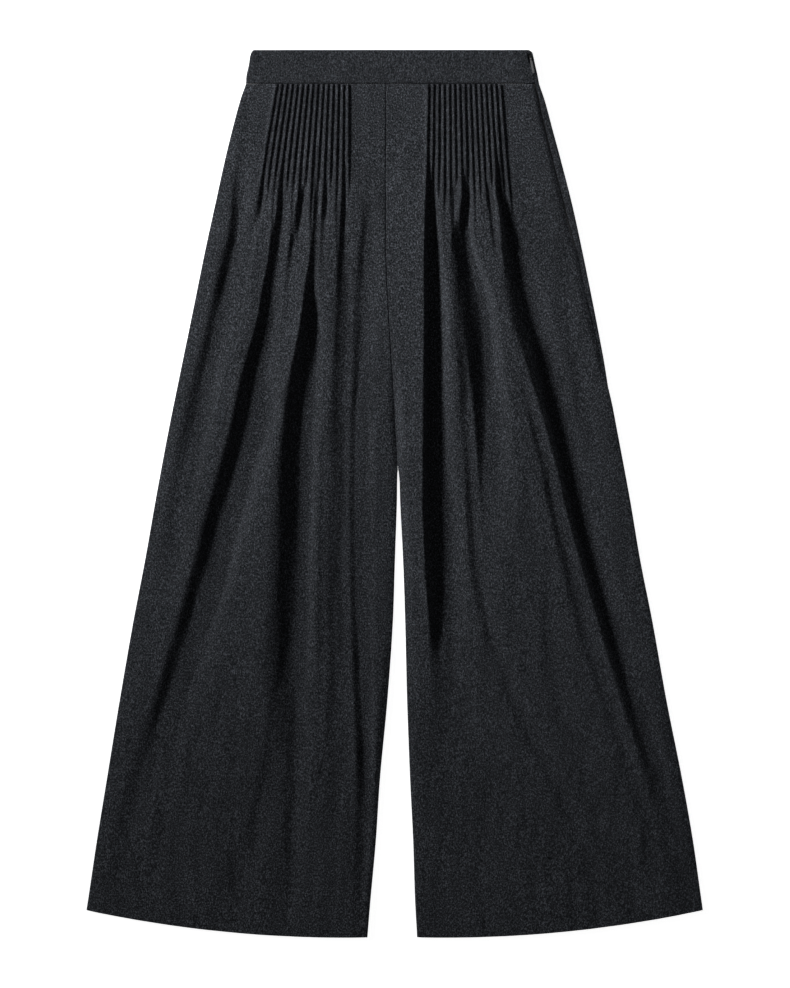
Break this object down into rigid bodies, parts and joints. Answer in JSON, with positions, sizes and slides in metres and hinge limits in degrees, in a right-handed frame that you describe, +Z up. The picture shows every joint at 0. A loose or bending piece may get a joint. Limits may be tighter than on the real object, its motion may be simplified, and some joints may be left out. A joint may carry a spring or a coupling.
{
  "type": "palazzo trousers",
  "caption": "High-waisted wide-leg trousers in charcoal flannel, tucked below a plain waistband, closed by a side zip and laid flat.",
  "frame": {"origin": "centre of the garment's outline, on the surface that it lies on", "axes": "+X towards the wearer's left side, +Y towards the waist, +Z up out of the front"},
  "size_m": [0.7558, 1.088, 0.0169],
  "materials": {
    "flannel": "charcoal melange wool flannel, matt, lightly napped, with fine pale fibres",
    "waistband_flannel": "the same flannel, doubled and pressed flat",
    "zip_tape": "black woven tape with a closed coil chain",
    "zip_metal": "dark grey lacquered die-cast metal, satin"
  },
  "bodies": {
    "trousers": {"front_right_leg": "flannel", "front_left_leg": "flannel", "back_right_leg": "flannel", "back_left_leg": "flannel", "waistband_front": "waistband_flannel", "waistband_back": "waistband_flannel", "side_zip": "zip_tape", "zip_slider": "zip_metal"},
    "pull_tab": {"zip_pull_tab": "zip_metal"}
  },
  "joints": [
    {"name": "pull_tab_hinge", "type": "hinge", "parent": "trousers", "child": "pull_tab", "pos_m": [0.1668, 0.533, 0.0063], "axis": [-0.9799, -0.1994, 0], "range_deg": [0, 165]}
  ]
}
